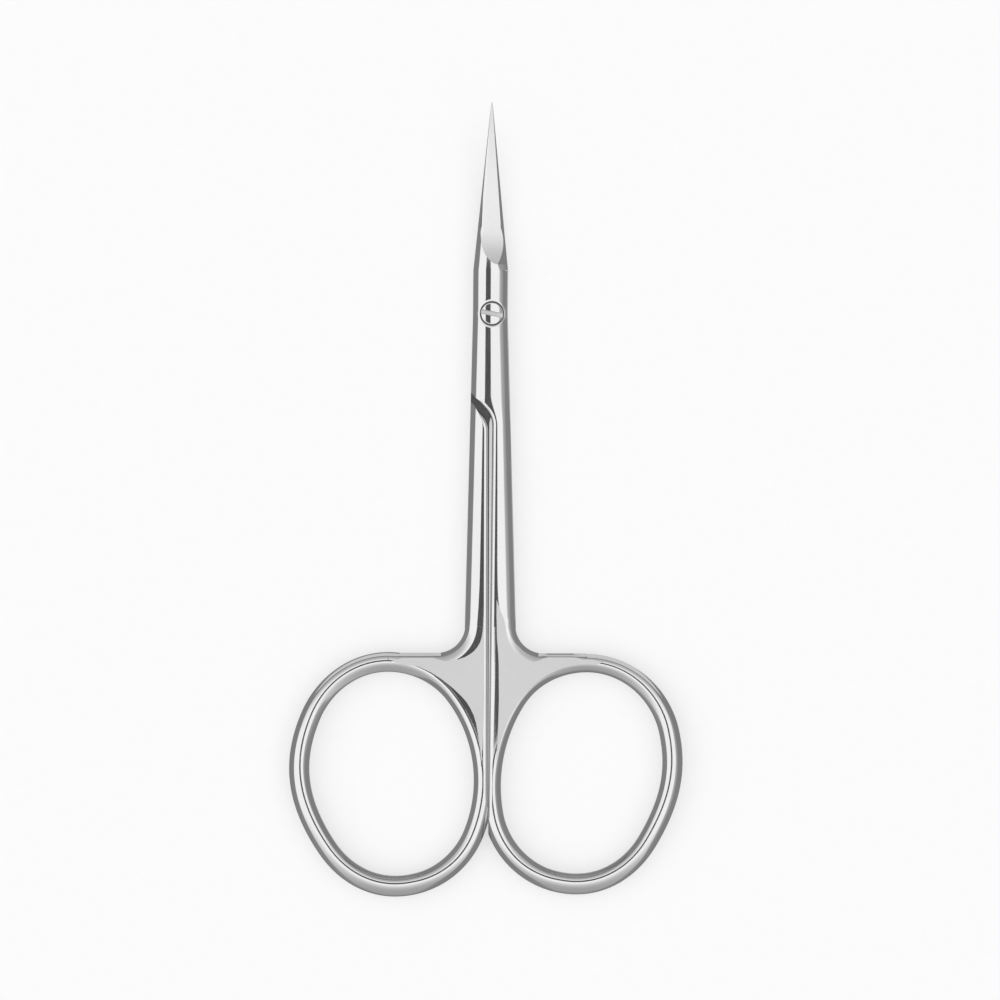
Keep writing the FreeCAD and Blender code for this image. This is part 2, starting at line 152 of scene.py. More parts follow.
# Satin panels sunk in the webs: their corners, from the top tip down along the seam and back up along the ring
PANEL_LEVEL = 1.46
PANEL_CORNERS = {
    BACK: (
        (-1.04, -34.8), (-0.95, -39.1), (-0.94, -46.3), (-1.1, -51.7), (-1.3, -54.0), (-1.36, -52.8), (-1.53, -51.2),
        (-1.9, -49.05), (-2.19, -48.07), (-2.62, -47.18), (-3.06, -46.48), (-3.64, -45.82), (-4.68, -44.83),
        (-6.14, -43.67), (-7.36, -42.92), (-8.85, -42.25), (-10.6, -41.98), (-12.2, -41.6), (-10.6, -41.2),
        (-7.44, -41.15), (-5.4, -41.25),
        (-4.08, -41.4), (-3.2, -41.1), (-2.6, -40.75), (-2.1, -40.35), (-1.7, -39.85), (-1.4, -39.3), (-1.2, -38.6),
        (-1.08, -37.7), (-1.04, -36.2),
    ),
    FRONT: (
        (0.55, -34.2), (0.8, -35.0), (1.12, -35.8), (1.42, -36.5), (1.6, -37.3), (1.78, -38.3), (2.05, -39.3),
        (2.65, -40.3), (3.5, -41.0), (4.5, -41.42), (5.6, -41.3), (8.2, -41.18), (10.6, -41.2), (13.4, -41.7),
        (10.6, -42.6), (8.2, -43.4), (6.3, -44.6),
        (5.0, -45.8), (3.9, -47.0), (3.0, -48.2), (2.2, -49.8), (1.6, -51.6), (1.2, -54.5), (0.4, -54.5),
        (0.56, -52.3), (0.74, -49.3), (0.82, -46.4), (0.8, -42.1), (0.74, -40.6), (0.6, -39.0), (0.54, -36.0),
    ),
}

# Pivot hole: seat for the screw's head and bore for its journal in the front half, tapped hole in the back half
SEAT_RADIUS = 1.44
SEAT_HEIGHT = 0.7
BORE_RADIUS = 0.88
TAPPED_RADIUS = 0.75
MOUTH_WIDTH = 0.08
MOUTH_DEPTH = 0.1
DISH_WIDTH = 0.22
DISH_DEPTH = 0.03
MOUTH_LOWEST = 0.78
MOUTH_STEPS = 6
DISH_STEPS = 8
TAPPED_SIDES = 128
SEAT_SIDES = 192

# A hair's breadth, points that count as one, steps in an arc, and how far cutting shapes run past the steel
SMALL = 0.01
MERGE = 0.001
NECK_STEPS = 32
SHOULDER_STEPS = 24
CURVE_STEPS = 64
ROUND_STEPS = 20
PAST = 1.0
FAR_X = 30.0
FAR_Y = 75.0
FAR_Z = 8.0

# Finishes, in the order of the material slots, and the angle past which an edge stays sharp
POLISHED = 0
SATIN = 1
# Ground facets, whose steel is painted lighter as a painted highlight over their real ground finish
GROUND_AND_HIGHLIT = 2
SHARP_ANGLE = 24.0

pivot = Vector(frame["joints"][0]["pos_m"])
into_frame = Matrix.Translation(pivot) @ Matrix.Scale(MM, 4)


def part_way(share):
    """Share of a run, held between 0 at its start and 1 at its end."""
    return min(max(share, 0), 1)


def eased(share):
    """Share of a run that starts and stops gently."""
    return share**2 * (3 - 2 * share)


def spot(vert):
    """Place of a vertex in plan, rounded so that it can be looked up."""
    return tuple(round(place, 4) for place in vert.co.xy)


def only_edges(geometry):
    return [part for part in geometry if isinstance(part, bmesh.types.BMEdge)]


def only_verts(geometry):
    return [part for part in geometry if isinstance(part, bmesh.types.BMVert)]


def draw_out(bm, loop, move):
    """Extrudes a loop of edges by a move and returns the new loop."""
    made = bmesh.ops.extrude_edge_only(bm, edges=loop)["geom"]
    verts = set(only_verts(made))
    bmesh.ops.translate(bm, vec=move, verts=list(verts))
    return [edge for edge in only_edges(made) if set(edge.verts) <= verts]


def swing(bm, start, centre, axis, degrees, steps):
    """Spins vertices or edges about an axis and returns what lies at the end."""
    turned = bmesh.ops.spin(
        bm, geom=start, cent=centre, axis=axis, angle=math.radians(degrees), steps=steps, use_merge=False
    )
    return turned["geom_last"]


def shut(bm, loop):
    """Closes a loop of edges with one face."""
    bmesh.ops.contextual_create(bm, geom=loop)


def unit_loop(bm, sides):
    """Unit circle in the XZ plane, with no vertex on its middle lines."""
    upright = Matrix.Rotation(math.radians(90), 4, "X")
    half_step = Matrix.Rotation(math.radians(180 / sides), 4, "Z")
    bmesh.ops.create_circle(bm, segments=sides, radius=1, matrix=upright @ half_step)
    return list(bm.edges)


def workpiece(name, bm):
    """Object made from a finished bmesh, with its faces outwards."""
    bmesh.ops.recalc_face_normals(bm, faces=bm.faces)
    mesh = bpy.data.meshes.new(name)
    bm.to_mesh(mesh)
    bm.free()
    made = bpy.data.objects.new(name, mesh)
    bpy.context.scene.collection.objects.link(made)
    for steel in (polished_steel, satin_steel, ground_and_highlit_steel):
        mesh.materials.append(steel)
    return made


def work(piece, operation, tool):
    """Joins a tool's shape to a piece, or cuts it by the tool, and throws the tool away."""
    step = piece.modifiers.new("step", "BOOLEAN")
    step.operation = operation
    step.solver = "MANIFOLD"
    step.object = tool
    ready = piece.evaluated_get(bpy.context.evaluated_depsgraph_get())
    mesh = bpy.data.meshes.new_from_object(ready)
    piece.modifiers.clear()
    worn = piece.data
    piece.data = mesh
    bpy.data.meshes.remove(worn)
    spent = tool.data
    bpy.data.objects.remove(tool)
    bpy.data.meshes.remove(spent)


def steel_finish(name, colour, roughness, spread, grain, turn, depth):
    """Stainless steel with a fine directional grain, its edges darkened by painted shade: colour, roughness and its
    spread, grain sizes in millimetres.
    """
    finish = bpy.data.materials.new(name)
    finish.use_nodes = True
    nodes = finish.node_tree.nodes
    links = finish.node_tree.links
    shader = nodes["Principled BSDF"]
    shader.inputs["Metallic"].default_value = 1.0
    # Reflection dimmed at grazing angles: painted shade that darkens the steel's edges
    shader.inputs["Specular Tint"].default_value = GRAZING_SHADE_TINT
    place = nodes.new("ShaderNodeTexCoord")
    stretch = nodes.new("ShaderNodeMapping")
    stretch.inputs["Rotation"].default_value = (0, 0, math.radians(turn))
    stretch.inputs["Scale"].default_value = [1 / (size * MM) for size in grain]
    lines = nodes.new("ShaderNodeTexNoise")
    lines.inputs["Scale"].default_value = 1.0
    lines.inputs["Detail"].default_value = GRAIN_DETAIL
    clouds = nodes.new("ShaderNodeTexNoise")
    clouds.inputs["Scale"].default_value = 1 / (CLOUD_SIZE * MM)
    clouds.inputs["Detail"].default_value = CLOUD_DETAIL
    links.new(place.outputs["Object"], stretch.inputs["Vector"])
    links.new(stretch.outputs["Vector"], lines.inputs["Vector"])
    links.new(place.outputs["Object"], clouds.inputs["Vector"])
    shades = nodes.new("ShaderNodeMix")
    shades.data_type = "RGBA"
    shades.inputs["A"].default_value = [part * (1 - CLOUD_SPREAD) for part in colour] + [1]
    shades.inputs["B"].default_value = [part * (1 + CLOUD_SPREAD) for part in colour] + [1]
    links.new(clouds.outputs["Fac"], shades.inputs["Factor"])
    links.new(shades.outputs["Result"], shader.inputs["Base Color"])
    sheen = nodes.new("ShaderNodeMapRange")
    sheen.inputs["From Min"].default_value = GRAIN_LOW
    sheen.inputs["From Max"].default_value = GRAIN_HIGH
    sheen.inputs["To Min"].default_value = roughness - spread
    sheen.inputs["To Max"].default_value = roughness + spread
    links.new(lines.outputs["Fac"], sheen.inputs["Value"])
    links.new(sheen.outputs["Result"], shader.inputs["Roughness"])
    bump = nodes.new("ShaderNodeBump")
    bump.inputs["Strength"].default_value = depth
    bump.inputs["Distance"].default_value = GRAIN_DEPTH * MM
    links.new(lines.outputs["Fac"], bump.inputs["Height"])
    links.new(bump.outputs["Normal"], shader.inputs["Normal"])
    return finish


CLOUD_SIZE = 6.0
CLOUD_DETAIL = 2.0
CLOUD_SPREAD = 0.04
GRAIN_DETAIL = 3.0
GRAIN_LOW = 0.3
GRAIN_HIGH = 0.7
GRAIN_DEPTH = 0.004
# Tint of the steel's reflection at grazing angles: painted shade that darkens the edges of the bar and rings
GRAZING_SHADE_TINT = (0.2, 0.2, 0.2, 1)
POLISHED_COLOUR = (0.58, 0.58, 0.585)
SATIN_COLOUR = (0.54, 0.54, 0.545)
# The ground facets' steel is lighter than the polished steel: a painted highlight on the facets, over their real ground
# finish
GROUND_HIGHLIGHT_COLOUR = (0.65, 0.65, 0.655)
polished_steel = steel_finish("polished_steel", POLISHED_COLOUR, 0.08, 0.02, (0.08, 3.0, 0.08), 0, 0.06)
satin_steel = steel_finish("satin_steel", SATIN_COLOUR, 0.4, 0.05, (0.06, 0.5, 0.06), 38, 0.35)
ground_and_highlit_steel = steel_finish("ground_and_highlit_steel", GROUND_HIGHLIGHT_COLOUR, 0.3, 0.05, (0.5, 0.05, 0.05), 0, 0.25)


def hole_arcs(side):
    """Centre, radius, start and sweep of the four arcs of a finger hole, drawn with the ring on +X."""
    across = HOLE_HALF_WIDTH[side]
    along = HOLE_HALF_LENGTH[side]
    reach = along - HOLE_END_RADIUS
    side_radius = (across**2 + along**2 - 2 * along * HOLE_END_RADIUS) / (2 * (across - HOLE_END_RADIUS))
    inset = side_radius - across
    turn = math.degrees(math.atan2(reach, inset))
    middle = Vector((RING_OUT[side], -RING_DROP[side], 0))
    lean = Matrix.Rotation(math.radians(-RING_TILT[side]), 3, "Z")
    arcs = []
    for centre, radius, start, sweep in (
        (Vector((-inset, 0, 0)), side_radius, -turn, 2 * turn),
        (Vector((0, reach, 0)), HOLE_END_RADIUS, turn, 180 - 2 * turn),
        (Vector((inset, 0, 0)), side_radius, 180 - turn, 2 * turn),
        (Vector((0, -reach, 0)), HOLE_END_RADIUS, 180 + turn, 180 - 2 * turn),
    ):
        arcs.append((middle + lean @ centre, radius, start - RING_TILT[side], sweep))
    return arcs


def neck_line(side):
    """Y of the straight top edge of a web."""
    centre, radius = hole_arcs(side)[1][:2]
    return centre.y + radius + RING_WIDTH - NECK_LINE_DROP[side]


def neck_start(side):
    """Y where the concave neck leaves the shank."""
    return neck_line(side) + NECK_RADIUS * (1 - math.sin(math.radians(NECK_RUN_IN_ANGLE)))


NECK_Y = (neck_start(FRONT) + neck_start(BACK)) / 2
TONGUE_Y = NECK_Y + TONGUE_LENGTH


def between(low, high, share):
    return low + (high - low) * share


def half_width(y):
    """Half the width of the closed bar or blades."""
    if y > BLADE_BASE:
        return between(PIVOT_HALF_WIDTH, TIP_HALF_WIDTH, (y - BLADE_BASE) / BLADE_LENGTH)
    return between(PIVOT_HALF_WIDTH, NECK_HALF_WIDTH, part_way(y / NECK_Y))


def half_height(y):
    """Half the thickness of the closed bar or blades."""
    if y > BLADE_BASE:
        run = (y - BLADE_BASE) / BLADE_LENGTH
        eased = run - TAPER_EASE * (1 - math.exp(-run / TAPER_EASE))
        return between(HALF_THICKNESS, TIP_HALF_HEIGHT, eased / (1 - TAPER_EASE))
    return HALF_THICKNESS - SINK_DEPTH * max(NECK_Y - y, 0) / SINK_LENGTH


def middle(y):
    """X of the middle of the closed bar or blades."""
    return BAR_X * (1 - max(y, 0) / TIP_Y)


def lift(y):
    """Height of the curved blades above the parting at the pivot."""
    return CURVE_RADIUS - math.sqrt(CURVE_RADIUS**2 - max(y - BLADE_BASE, 0) ** 2)


def crest(y, end):
    """Where the flat crest of the bar starts (end 0) or stops (end 1), from the bar's middle."""
    if y >= LUG_END:
        share = CREST_LUG[end]
    elif y >= SHANK_TOP:
        run = (LUG_END - y) / (LUG_END - SHANK_TOP)
        share = between(CREST_LUG[end], CREST_SHANK[end], eased(run))
    elif y >= TONGUE_Y:
        share = between(CREST_SHANK[end], CREST_TONGUE[end], (SHANK_TOP - y) / (SHANK_TOP - TONGUE_Y))
    else:
        share = between(CREST_TONGUE[end], CREST_NECK[end], min((TONGUE_Y - y) / TONGUE_LENGTH, 1) ** (2 + 2 * end))
    return share * half_width(y)


def flank(share, level, reach, height):
    """Height of a rounded section at a share of its reach: an oval whose side is eased to a straight flank."""
    lean = FLANK_SLOPE * reach / height
    start = lean / math.hypot(1, lean)
    if share <= start:
        return height * level
    corner = height * math.sqrt(1 - start**2) - FLANK_SLOPE * reach * (min(share, FLANK_CORNER) - start)
    return corner * min(math.sqrt(level / math.sqrt(1 - FLANK_CORNER**2)), 1)


def crown(x, y):
    """Height of the closed bar's surface above its parting, at a place on it."""
    out = x - middle(y)
    left, right = crest(y, 0), crest(y, 1)
    reach = half_width(y) - right if out > right else half_width(y) + left
    share = min(max(out - right, left - out, 0) / reach, FLANK_CORNER)
    return flank(share, math.sqrt(1 - share**2), reach, half_height(y))


def closed_bar():
    """Shanks, lugs and blades of both halves in one: a round bar drawn out and forged to its changing section."""
    bm = bmesh.new()
    loop = unit_loop(bm, BAR_SIDES)
    end = loop
    y = NECK_Y - SINK_LENGTH
    bmesh.ops.translate(bm, vec=(0, y, 0), verts=bm.verts)
    shank_stops = ((NECK_Y, 8), (TONGUE_Y, 24), (SHANK_TOP, 24))
    lug_stops = ((LUG_END, 20), (0, 12), (BLADE_BASE, 8))
    for stop, steps in shank_stops + lug_stops + ((TIP_Y, BLADE_STEPS),):
        for step in range(steps):
            end = draw_out(bm, end, (0, (stop - y) / steps, 0))
        y = stop
    shut(bm, loop)
    shut(bm, end)
    for vert in bm.verts:
        x, y, z = vert.co
        side_crest = crest(y, 1 if x > 0 else 0)
        reach = half_width(y) - math.copysign(side_crest, x * side_crest)
        vert.co.x = middle(y) + side_crest + x * reach
        vert.co.z = lift(y) + math.copysign(flank(abs(x), abs(z), reach, half_height(y)), z)
    return workpiece("closed_bar", bm)


def turned_over(side):
    return Matrix.Rotation(math.radians(180 if side == BACK else 0), 4, "Y")


def on_bar(bm, side):
    """Turns a shape drawn for the front half over for the back half, and sets it on the bar's middle."""
    bmesh.ops.transform(bm, matrix=Matrix.Translation((BAR_X, 0, 0)) @ turned_over(side), verts=bm.verts)


def on_seam(bm, side):
    """Turns a shape drawn along an upright seam to the slope of one half's face, and sets it on the seam."""
    foot = Matrix.Translation((0, -RING_DROP[side], 0))
    opened = foot @ Matrix.Rotation(math.radians(-SEAM_HALF_OPENING), 4, "Z") @ foot.inverted()
    leant = foot @ Matrix.Rotation(math.radians(-SEAM_LEAN), 4, "Z") @ foot.inverted()
    place = Matrix.Translation((SEAM_X, 0, 0)) @ leant @ turned_over(side) @ opened
    bmesh.ops.transform(bm, matrix=place, verts=bm.verts)


def finger_ring(side):
    """Rod of the ring, spun about the four arcs of its hole."""
    bm = bmesh.new()
    loop = unit_loop(bm, RING_SIDES)
    arcs = hole_arcs(side)
    centre, radius, start, _ = arcs[0]
    outer_round = RING_WIDTH - RING_LAND - RING_INNER_ROUND
    for vert in bm.verts:
        x, y, z = vert.co
        reach = outer_round if x > 0 else RING_INNER_ROUND
        land = math.copysign(RING_LAND / 2, x)
        vert.co.x = radius + RING_INNER_ROUND + RING_LAND / 2 + land + x * reach
        vert.co.z = math.copysign(flank(abs(x), abs(z), reach, HALF_THICKNESS), z)
    place = Matrix.Translation(centre) @ Matrix.Rotation(math.radians(start), 4, "Z")
    bmesh.ops.transform(bm, matrix=place, verts=bm.verts)
    for centre, radius, start, sweep in arcs:
        verts = list({vert for edge in loop for vert in edge.verts})
        last = swing(bm, verts + loop, centre, (0, 0, 1), sweep, math.ceil(sweep / RING_STEP))
        loop = only_edges(last)
    bmesh.ops.remove_doubles(bm, verts=bm.verts, dist=MERGE)
    ring_middle = Vector((RING_OUT[side], -RING_DROP[side]))
    for vert in bm.verts:
        spoke = vert.co.xy - ring_middle
        across, along = spoke.normalized()
        level = abs(vert.co.z) / HALF_THICKNESS
        if across > 0:
            spoke *= 1 - RING_FAR_SIDE_EASE * (2 * across * along) ** 2
        if along > 0:
            outer = (spoke.length - HOLE_HALF_LENGTH[side]) / RING_WIDTH
            spoke.y -= (RING_TOP_DROP[side] + RING_TOP_THINNER[side] * outer) * along**4
        spoke.y += RING_CROWN_LEAN * level**3 * part_way((across - RING_LEAN_START) / RING_LEAN_RUN)
        vert.co.xy = ring_middle + spoke
    on_bar(bm, side)
    return workpiece("ring", bm)


def web_plate(side):
    """Flat plate between shank and ring, with a rounded rim along its concave neck."""
    bm = bmesh.new()
    arcs = hole_arcs(side)
    top_centre, top_radius, top_start, top_sweep = arcs[1]
    seam_centre, _, seam_start, _ = arcs[2]
    run_in = math.radians(NECK_RUN_IN_ANGLE)
    line_y = neck_line(side)
    leave = Vector((half_width(neck_start(side)) - NECK_SINK, neck_start(side), 0))
    top = leave + Vector((-math.tan(run_in), 1, 0)) * WEB_RUN_IN
    neck_centre = Vector((leave.x + NECK_RADIUS * math.cos(run_in), line_y + NECK_RADIUS, 0))
    outline = [bm.verts.new((-PAST, top.y, 0)), bm.verts.new(top), bm.verts.new(leave)]

    def follow(centre, degrees, steps):
        known = set(bm.verts)
        swing(bm, [outline[-1]], centre, (0, 0, 1), degrees, steps)
        bm.verts.ensure_lookup_table()
        outline.extend(vert for vert in bm.verts if vert not in known)

    follow(neck_centre, 90 - NECK_RUN_IN_ANGLE, NECK_STEPS)
    for step in range(1, RIM_STEPS + 1):
        outline.append(bm.verts.new((between(neck_centre.x, top_centre.x, step / RIM_STEPS), line_y, 0)))
    rim = {spot(vert) for vert in outline[1:]}
    outline.append(bm.verts.new((top_centre.x, top_centre.y + top_radius + RING_WIDTH / 2, 0)))
    follow(top_centre, top_start + top_sweep - 90, NECK_STEPS)
    follow(seam_centre, 180 - seam_start, NECK_STEPS)
    ring_side = {spot(vert) for vert in outline} - rim
    outline.append(bm.verts.new((-PAST, seam_centre.y, 0)))
    plate = bm.faces.new(outline)
    bmesh.ops.translate(bm, vec=(0, 0, -WEB_HALF_THICKNESS), verts=bm.verts)
    raised = bmesh.ops.extrude_face_region(bm, geom=[plate])["geom"]
    bmesh.ops.translate(bm, vec=(0, 0, 2 * WEB_HALF_THICKNESS), verts=only_verts(raised))

    def rim_edges():
        for edge in bm.edges:
            level = abs(edge.verts[0].co.z - edge.verts[1].co.z) < PAST / 2
            if level and all(spot(vert) in rim for vert in edge.verts):
                yield edge

    def ease(edges, offset, segments):
        return bmesh.ops.bevel(
            bm, geom=edges, offset=offset, offset_type="OFFSET", segments=segments, profile=0.5, affect="EDGES",
            material=-1, clamp_overlap=False,
        )["faces"]

    chamfers = set(ease(list(rim_edges()), NECK_CHAMFER, 1))
    shoulders = []
    for edge in bm.edges:
        flats = [face for face in edge.link_faces if abs(face.normal.z) > 0.99]
        if len(flats) == 1 and any(face in chamfers for face in edge.link_faces):
            shoulders.append(edge)
    for vert in {vert for face in chamfers for vert in face.verts}:
        if abs(vert.co.z) < WEB_HALF_THICKNESS - NECK_CHAMFER / 2:
            vert.co.z = math.copysign(NECK_CHAMFER_FOOT, vert.co.z)
    bm.normal_update()
    ease(shoulders, NECK_ROUND, NECK_ROUND_STEPS)
    for vert in bm.verts:
        depth = line_y - vert.co.y
        run = part_way((vert.co.x - neck_centre.x) / RIM_NARROWING_RUN + RIM_NARROWING_LEAD)
        end = part_way(1 - (top_centre.x - vert.co.x) / RIM_END_RUN)
        if spot(vert) not in ring_side and 0 < depth < NECK_CHAMFER + NECK_ROUND + SMALL:
            narrow = between(1, RIM_NARROWING[side], eased(run))
            vert.co.y = line_y - depth * between(narrow, RIM_END, eased(end))
    on_bar(bm, side)
    return workpiece("web", bm)


def panel_planers(side):
    """Tools that sink the satin panel of a web a little below its polished edges, above and below."""
    tools = []
    for up in (1, -1):
        bm = bmesh.new()
        panel = bm.faces.new([bm.verts.new((x, y, up * PANEL_LEVEL)) for x, y in PANEL_CORNERS[side]])
        raised = bmesh.ops.extrude_face_region(bm, geom=[panel])["geom"]
        bmesh.ops.translate(bm, vec=(0, 0, up * PAST), verts=only_verts(raised))
        for face in bm.faces:
            face.material_index = SATIN
        tools.append(workpiece("panel", bm))
    return tools


def shoulder(out, drop):
    """Seam end and arc centre of a slanted shoulder that runs out to one side, and its far end."""
    slope = math.radians(SHOULDER_ANGLE)
    tangent = SHOULDER_ROUND * math.tan((math.pi / 2 - slope) / 2)
    corner = Vector((SEAM_HALF_GAP, -drop, 0))
    seam = corner - Vector((0, tangent, 0))
    centre = seam + Vector((out * SHOULDER_ROUND, 0, 0))
    along = Vector((out * math.cos(slope), math.sin(slope), 0))
    return seam, centre, along, corner + along * SHOULDER_RUN


def kept_space(side):
    """Space of one half: its own layer at the pivot, and both layers below the shoulders, on its side of the seam."""
    bm = bmesh.new()

    def shoulder_line(out, drop):
        seam, centre, along, far = shoulder(out, drop)
        line = [bm.verts.new(seam)]
        known = set(bm.verts)
        swing(bm, line, centre, (0, 0, 1), -out * (90 - SHOULDER_ANGLE), SHOULDER_STEPS)
        line += [vert for vert in bm.verts if vert not in known]
        return line + [bm.verts.new(far)]

    own = shoulder_line(-1, SHOULDER_DROP)
    other = shoulder_line(1, SHOULDER_DROP + SHOULDER_GAP)
    foot = bm.verts.new((SEAM_HALF_GAP, -FAR_Y, 0))
    far_foot = bm.verts.new((FAR_X, -FAR_Y, 0))
    far_side = bm.verts.new((FAR_X, other[-1].co.y, 0))
    far_top = bm.verts.new((FAR_X, BLADE_BASE, 0))
    near_top = bm.verts.new((own[-1].co.x, BLADE_BASE, 0))
    shank = bm.faces.new([foot, far_foot, far_side] + other[::-1])
    bm.faces.new(own[::-1] + other + [far_side, far_top, near_top])
    on_seam(bm, side)
    far_top.co.y = BLADE_BASE
    near_top.co.y = BLADE_BASE
    edge = bm.edges.get((far_top, near_top))
    edge = draw_out(bm, [edge], (0, 0, side * BLADE_HALF_GAP))
    centre = (0, BLADE_BASE, CURVE_RADIUS + side * BLADE_HALF_GAP)
    sweep = math.degrees(math.asin((BLADE_LENGTH + PAST) / CURVE_RADIUS))
    swing(bm, list(edge[0].verts) + edge, centre, (1, 0, 0), sweep, CURVE_STEPS)
    raised = bmesh.ops.extrude_face_region(bm, geom=list(bm.faces))["geom"]
    bmesh.ops.translate(bm, vec=(0, 0, side * FAR_Z), verts=only_verts(raised))
    lowered = bmesh.ops.extrude_face_region(bm, geom=[shank] + list(shank.edges))["geom"]
    bmesh.ops.translate(bm, vec=(0, 0, -side * FAR_Z), verts=only_verts(lowered))
    return workpiece("space", bm)


def along_blade(corners, finish, start):
    """Closed tool drawn along the blades, with its four corners given at each place by a function."""
    bm = bmesh.new()
    loop = unit_loop(bm, 4)
    end = loop
    bmesh.ops.translate(bm, vec=(0, start, 0), verts=bm.verts)
    for step in range(BLADE_STEPS):
        end = draw_out(bm, end, (0, (TIP_Y - PAST / 4 - start) / BLADE_STEPS, 0))
    end = draw_out(bm, end, (0, PAST, 0))
    shut(bm, loop)
    shut(bm, end)
    for vert in bm.verts:
        x, y, z = vert.co
        out, up = corners(min(y, TIP_Y), x > 0, z > 0)
        vert.co = (middle(y) + out, y, lift(y) + up)
    for face in bm.faces:
        face.material_index = finish
    return workpiece("stone", bm)


def blade_stones(side):
    """What is ground off a blade: facet with a round run-out, eased ridge, both steep sides, and a bevel inside."""
    side_crest = -CREST_LUG[0] if side == FRONT else CREST_LUG[1]
    spine_share = (FACET_SPINE - side_crest) / (1 - side_crest)

    def facet_slope(y):
        slope = half_height(y) * math.sqrt(1 - spine_share**2) / ((FACET_SPINE + FACET_EDGE) * half_width(y))
        return min(slope, FACET_STEEPEST)

    def facet_height(y, out):
        rise = max(FACET_RUNOUT_START - y, 0) ** 2 / (2 * FACET_RUNOUT_RADIUS) + BLADE_HALF_GAP
        return rise + facet_slope(y) * (FACET_EDGE * half_width(y) - out)

    def ridge_height(y, out):
        spine = -FACET_SPINE * half_width(y)
        spine_z = facet_height(y, spine)
        return spine_z - RIDGE_DEPTH * half_height(y) - RIDGE_SLOPE * (spine_z - facet_height(y, out))

    def flat_height(y, out):
        places = [half_width(y) * (step / RIDGE_SAMPLES - 1) for step in range(2 * RIDGE_SAMPLES + 1)]
        highest = max(min(crown(middle(y) + side * place, y), ridge_height(y, place)) for place in places)
        return highest - min(RIDGE_FLAT * half_height(y), half_height(y) - highest)

    def spine_side(y, out):
        edge = -SPINE_SIDE * half_width(y)
        return facet_height(y, edge) + FLANK_SLOPE * (out - edge)

    def over(height):
        def corners(y, right, top):
            out = 2 * PIVOT_HALF_WIDTH if right else -2 * PIVOT_HALF_WIDTH
            return side * out, side * (FAR_Z if top else height(y, out))

        return corners

    def far_side(y, right, top):
        foot = max(SIDE_FOOT - SIDE_TAPER * (y - SIDE_START), FACET_EDGE * half_width(y))
        slope = max(SIDE_SLOPE, SIDE_STEEPER * facet_slope(y))
        out = foot + PAST if right else foot - 2 * PIVOT_HALF_WIDTH
        return side * out, side * (FAR_Z if top else BLADE_HALF_GAP + slope * (foot - out))

    def inside(y, right, top):
        start = -between(1 + SMALL, BEVEL_START, part_way((y - BEVEL_BASE) / BEVEL_RUN_IN)) * half_width(y)
        out = start if right else start - PIVOT_HALF_WIDTH
        return side * out, side * (BLADE_HALF_GAP + BEVEL_SLOPE * (start - out) if top else -PIVOT_HALF_WIDTH)

    return [
        along_blade(over(facet_height), GROUND_AND_HIGHLIT, BLADE_BASE),
        along_blade(over(ridge_height), POLISHED, BLADE_BASE),
        along_blade(over(flat_height), POLISHED, BLADE_BASE),
        along_blade(far_side, POLISHED, SIDE_START),
        along_blade(over(spine_side), POLISHED, BLADE_BASE),
        along_blade(inside, POLISHED, BLADE_BASE),
    ]


def seam_rounds(side):
    """Tools that round both edges of a half along the seam, round the shoulder and out along its slant."""
    tools = []
    radius = SEAM_ROUND[side]
    for up, out, drop in ((1, -1, SHOULDER_DROP), (-1, 1, SHOULDER_DROP + SHOULDER_GAP)):
        bm = bmesh.new()
        low = up * (HALF_THICKNESS - radius)
        high = up * (HALF_THICKNESS + PAST)
        outer = SEAM_HALF_GAP + radius
        near = SEAM_HALF_GAP - PAST
        seam, centre, along, far = shoulder(out, drop)
        profile = [bm.verts.new((SEAM_HALF_GAP, -FAR_Y, low))]
        swing(bm, profile[:], (outer, -FAR_Y, low), (0, 1, 0), 90 * up, ROUND_STEPS)
        profile = list(bm.verts)
        profile += [bm.verts.new((outer, -FAR_Y, high)), bm.verts.new((near, -FAR_Y, high))]
        profile.append(bm.verts.new((near, -FAR_Y, low)))
        face = bm.faces.new(profile)
        loop = list(face.edges)
        bmesh.ops.delete(bm, geom=[face], context="FACES_ONLY")
        end = draw_out(bm, loop, (0, FAR_Y + seam.y, 0))
        verts = list({vert for edge in end for vert in edge.verts})
        end = only_edges(swing(bm, verts + end, centre, (0, 0, 1), -out * (90 - SHOULDER_ANGLE), SHOULDER_STEPS))
        end = draw_out(bm, end, along * SHOULDER_RUN)
        shut(bm, loop)
        shut(bm, end)
        on_seam(bm, side)
        tools.append(workpiece("seam_round", bm))
    return tools


def crown_drop(x):
    """How far the bar's crown falls below its crest at the pivot, at a place across it."""
    return HALF_THICKNESS - crown(x, 0)


def turned(bm, steps, sides):
    """Turns a profile of radius and height steps about the pivot axis."""
    profile = [bm.verts.new((x, 0, z)) for x, z in steps]
    edges = [bm.edges.new(pair) for pair in zip(profile, profile[1:])]
    bmesh.ops.spin(
        bm, geom=profile + edges, cent=(0, 0, 0), axis=(0, 0, 1), angle=math.tau, steps=sides, use_merge=True
    )
    bmesh.ops.remove_doubles(bm, verts=bm.verts, dist=MERGE)


def quarter_round(radius, height, wide, deep, steps):
    """Steps of a rounded edge, from its upright start at a radius and height out to level, wide and deep."""
    angles = [math.radians(90 * step / steps) for step in range(steps + 1)]
    return [(radius + wide * (1 - math.cos(angle)), height + deep * math.sin(angle)) for angle in angles]


